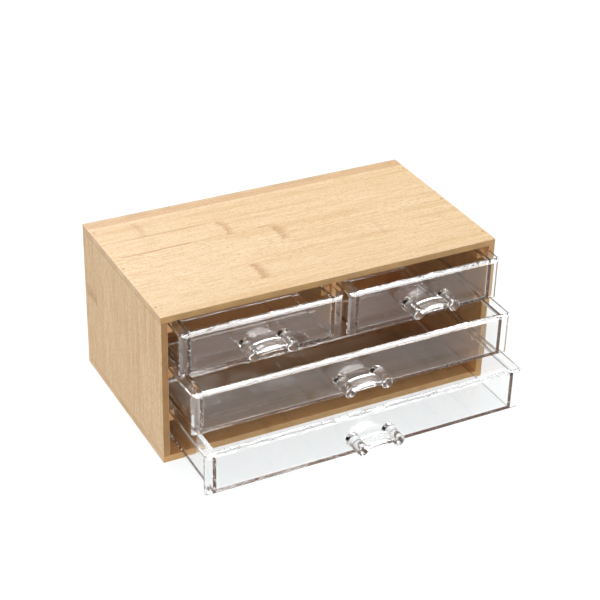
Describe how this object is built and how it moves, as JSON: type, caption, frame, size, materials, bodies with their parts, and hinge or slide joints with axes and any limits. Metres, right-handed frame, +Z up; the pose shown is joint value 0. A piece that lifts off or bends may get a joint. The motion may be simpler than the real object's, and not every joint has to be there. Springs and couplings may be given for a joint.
{
  "type": "desk organizer",
  "caption": "Low bamboo desktop case with clear sliding drawers in stacked rows, the top row split in two; each drawer has a plain clear front and an arched bar handle on round posts.",
  "frame": {"origin": "centre of the case's base, on the surface that it stands on", "axes": "+X to the right across the width as seen from the open front, +Y towards the back panel, +Z up; the drawers pull out along -Y"},
  "size_m": [0.311, 0.259, 0.14],
  "materials": {
    "bamboo": "satin carbonised bamboo board",
    "bamboo_edge": "unfinished bamboo, darker in the shade of the case",
    "pin_wood": "dark end grain",
    "clear_plastic": "polished clear plastic"
  },
  "bodies": {
    "casing": {"top_panel": "bamboo", "bottom_panel": "bamboo", "left_side_panel": "bamboo", "right_side_panel": "bamboo", "back_panel": "bamboo", "divider": "bamboo_edge", "runner_bottom_left": "bamboo_edge", "runner_bottom_right": "bamboo_edge", "runner_middle_left": "bamboo_edge", "runner_middle_right": "bamboo_edge", "runner_top_left_outer": "bamboo_edge", "runner_top_left_inner": "bamboo_edge", "runner_top_right_inner": "bamboo_edge", "runner_top_right_outer": "bamboo_edge", "top_pin_left_1": "pin_wood", "top_pin_left_2": "pin_wood", "top_pin_left_3": "pin_wood", "top_pin_right_1": "pin_wood", "top_pin_right_2": "pin_wood", "top_pin_right_3": "pin_wood", "bottom_pin_left_1": "pin_wood", "bottom_pin_left_2": "pin_wood", "bottom_pin_left_3": "pin_wood", "bottom_pin_right_1": "pin_wood", "bottom_pin_right_2": "pin_wood", "bottom_pin_right_3": "pin_wood", "back_pin_left_1": "pin_wood", "back_pin_left_2": "pin_wood", "back_pin_left_3": "pin_wood", "back_pin_right_1": "pin_wood", "back_pin_right_2": "pin_wood", "back_pin_right_3": "pin_wood"},
    "bottom_drawer": {"bottom_drawer_tray": "clear_plastic", "bottom_drawer_front": "clear_plastic", "bottom_drawer_handle": "clear_plastic"},
    "middle_drawer": {"middle_drawer_tray": "clear_plastic", "middle_drawer_front": "clear_plastic", "middle_drawer_handle": "clear_plastic"},
    "top_left_drawer": {"top_left_drawer_tray": "clear_plastic", "top_left_drawer_front": "clear_plastic", "top_left_drawer_handle": "clear_plastic"},
    "top_right_drawer": {"top_right_drawer_tray": "clear_plastic", "top_right_drawer_front": "clear_plastic", "top_right_drawer_handle": "clear_plastic"}
  },
  "joints": [
    {"name": "bottom_drawer_slide", "type": "slide", "parent": "casing", "child": "bottom_drawer", "axis": [0, -1, 0], "range_m": [-0.067, 0.043]},
    {"name": "middle_drawer_slide", "type": "slide", "parent": "casing", "child": "middle_drawer", "axis": [0, -1, 0], "range_m": [-0.043, 0.067]},
    {"name": "top_left_drawer_slide", "type": "slide", "parent": "casing", "child": "top_left_drawer", "axis": [0, -1, 0], "range_m": [-0.02, 0.09]},
    {"name": "top_right_drawer_slide", "type": "slide", "parent": "casing", "child": "top_right_drawer", "axis": [0, -1, 0], "range_m": [-0.02, 0.09]}
  ]
}
